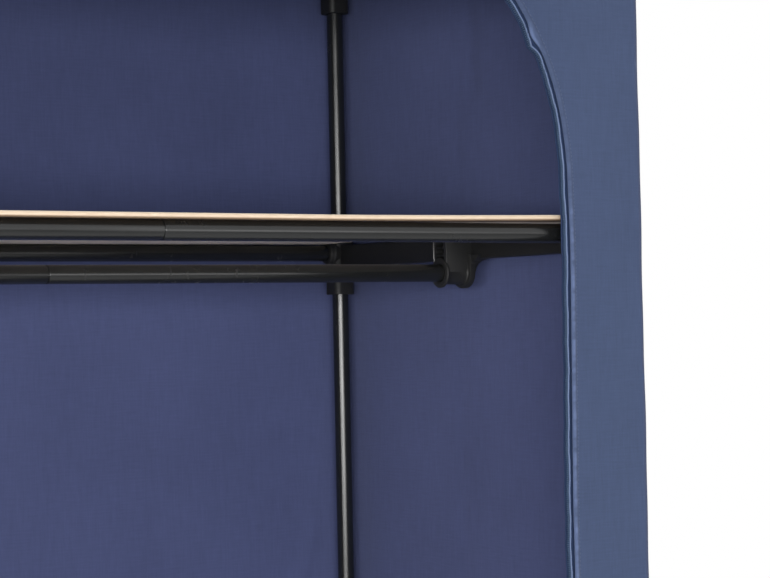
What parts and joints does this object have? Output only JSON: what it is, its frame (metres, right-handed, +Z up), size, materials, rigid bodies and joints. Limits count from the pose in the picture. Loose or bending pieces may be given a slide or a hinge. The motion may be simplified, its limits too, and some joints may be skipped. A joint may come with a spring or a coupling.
{
  "type": "portable fabric wardrobe",
  "caption": "Free-standing push-together tube wardrobe with shelf, hanging rod and a zipped cloth cover whose arched door is rolled up.",
  "frame": {"origin": "on the floor, below the middle of the whole outline with the rolled door", "axes": "+X to the wardrobe's right as seen from the front, -Y out of the front, +Z up"},
  "size_m": [0.9, 0.5192, 1.7],
  "materials": {
    "painted_tube": "satin black paint",
    "moulded_plastic": "matte",
    "board": "pale smooth board",
    "cover_cloth": "matte non-woven cloth",
    "tie_cloth": "matte woven tape",
    "zip_tape": "woven tape with a nylon coil",
    "zip_metal": "semi-gloss paint"
  },
  "bodies": {
    "wardrobe": {"base_connector_front_left": "moulded_plastic", "post_lower_front_left": "painted_tube", "post_coupler_front_left": "moulded_plastic", "post_middle_front_left": "painted_tube", "post_upper_front_left": "painted_tube", "top_connector_front_left": "moulded_plastic", "base_connector_front_right": "moulded_plastic", "post_lower_front_right": "painted_tube", "post_coupler_front_right": "moulded_plastic", "post_middle_front_right": "painted_tube", "post_upper_front_right": "painted_tube", "top_connector_front_right": "moulded_plastic", "base_connector_rear_left": "moulded_plastic", "post_lower_rear_left": "painted_tube", "post_coupler_rear_left": "moulded_plastic", "post_middle_rear_left": "painted_tube", "post_upper_rear_left": "painted_tube", "top_connector_rear_left": "moulded_plastic", "base_connector_rear_right": "moulded_plastic", "post_lower_rear_right": "painted_tube", "post_coupler_rear_right": "moulded_plastic", "post_middle_rear_right": "painted_tube", "post_upper_rear_right": "painted_tube", "top_connector_rear_right": "moulded_plastic", "base_rail_front_left": "painted_tube", "base_rail_front_right": "painted_tube", "base_rail_rear_left": "painted_tube", "base_rail_rear_right": "painted_tube", "shelf_rail_front_left": "painted_tube", "shelf_rail_front_right": "painted_tube", "shelf_rail_rear_left": "painted_tube", "shelf_rail_rear_right": "painted_tube", "top_rail_front_left": "painted_tube", "top_rail_front_right": "painted_tube", "top_rail_rear_left": "painted_tube", "top_rail_rear_right": "painted_tube", "hanging_rod_left": "painted_tube", "base_side_tube_left": "painted_tube", "top_side_tube_left": "painted_tube", "shelf_bracket_left": "moulded_plastic", "hanging_rod_right": "painted_tube", "base_side_tube_right": "painted_tube", "top_side_tube_right": "painted_tube", "shelf_bracket_right": "moulded_plastic", "base_board": "board", "shelf_board": "board", "cover_back": "cover_cloth", "cover_front": "cover_cloth", "cover_roof": "cover_cloth", "cover_side_left": "cover_cloth", "cover_side_right": "cover_cloth", "door_roll": "cover_cloth", "door_tie_left": "tie_cloth", "zip_left": "zip_tape", "door_tie_right": "tie_cloth", "zip_right": "zip_tape"},
    "slider_left": {"zip_slider_left": "zip_metal"},
    "pull_left": {"zip_pull_left": "zip_metal"},
    "slider_right": {"zip_slider_right": "zip_metal"},
    "pull_right": {"zip_pull_right": "zip_metal"}
  },
  "joints": [
    {"name": "zip_slide_left", "type": "slide", "parent": "wardrobe", "child": "slider_left", "axis": [0, 0, 1], "range_m": [0, 1.385]},
    {"name": "pull_swing_left", "type": "hinge", "parent": "slider_left", "child": "pull_left", "pos_m": [-0.3671, -0.20675, 0.0388], "axis": [-1, 0, 0], "range_deg": [0, 160]},
    {"name": "zip_slide_right", "type": "slide", "parent": "wardrobe", "child": "slider_right", "axis": [0, 0, 1], "range_m": [0, 1.385]},
    {"name": "pull_swing_right", "type": "hinge", "parent": "slider_right", "child": "pull_right", "pos_m": [0.3671, -0.20675, 0.0388], "axis": [-1, 0, 0], "range_deg": [0, 160]}
  ]
}
